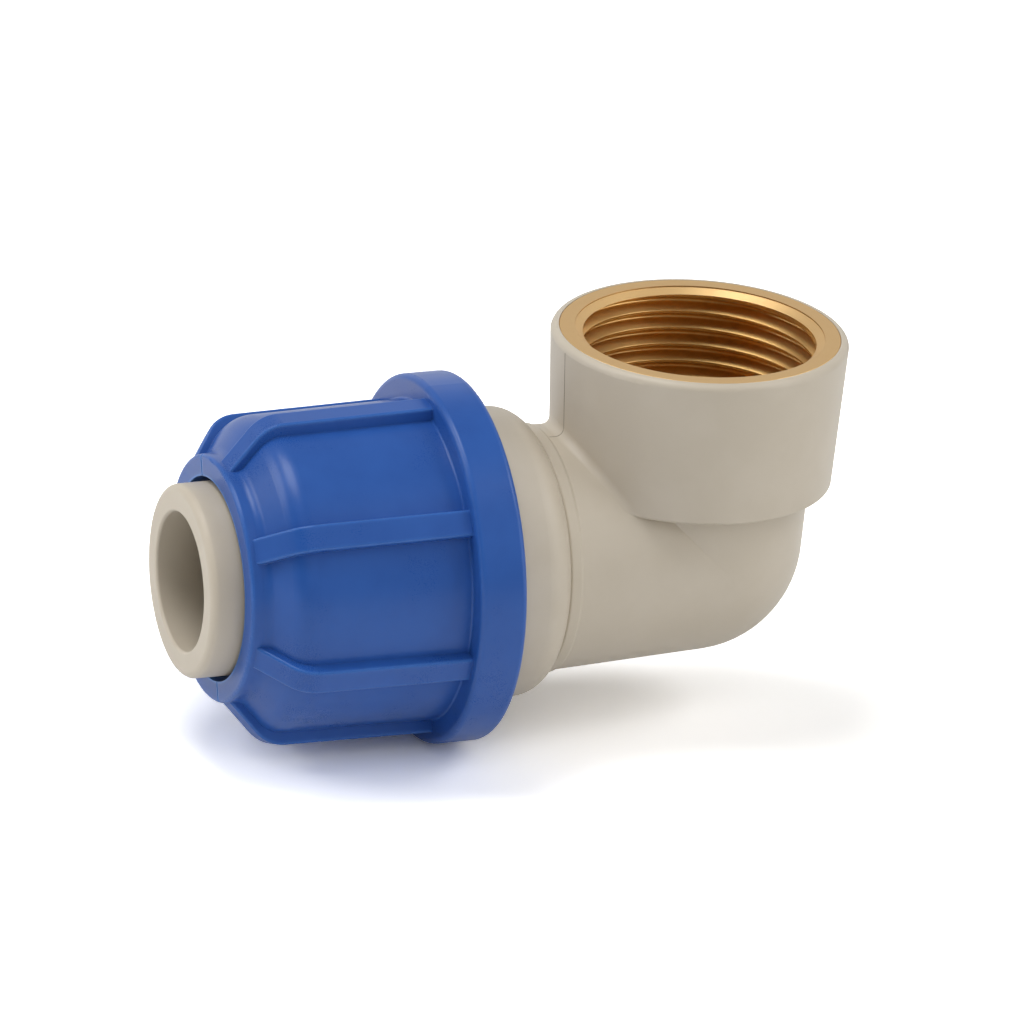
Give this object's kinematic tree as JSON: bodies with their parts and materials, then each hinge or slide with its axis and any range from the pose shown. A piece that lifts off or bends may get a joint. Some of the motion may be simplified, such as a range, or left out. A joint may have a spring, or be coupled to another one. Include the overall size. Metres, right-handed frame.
{
  "type": "compression elbow",
  "caption": "Right-angle plastic pipe fitting: a ribbed screw nut grips a pipe on one leg, and a brass insert with a female pipe thread is moulded into the other.",
  "frame": {"origin": "centre of the threaded mouth, on the plane of its rim", "axes": "+Z out of the threaded mouth, -X along the pipe and out of the nut"},
  "size_m": [0.0893, 0.048, 0.0523],
  "materials": {
    "body_plastic": "moulded satin",
    "nut_plastic": "moulded satin",
    "brass": "turned",
    "grip_plastic": "moulded",
    "rubber": "moulded"
  },
  "bodies": {
    "elbow": {"elbow_body": "body_plastic", "thread_insert": "brass", "pipe_stub": "body_plastic", "thrust_bush": "grip_plastic", "seal_ring": "rubber"},
    "grip": {"grip_ring": "grip_plastic"},
    "nut": {"compression_nut": "nut_plastic"}
  },
  "joints": [
    {"name": "nut_advance", "type": "slide", "parent": "elbow", "child": "grip", "axis": [-1, 0, 0], "range_m": [0, 0.0121]},
    {"name": "nut_turn", "type": "hinge", "parent": "grip", "child": "nut", "pos_m": [-0.045, 0, -0.02835], "axis": [-1, 0, 0], "range_deg": [0, 1080]}
  ],
  "couplings": [
    {"joint": "nut_advance", "follows": "nut_turn", "m_per_rad": 0.0006366}
  ]
}
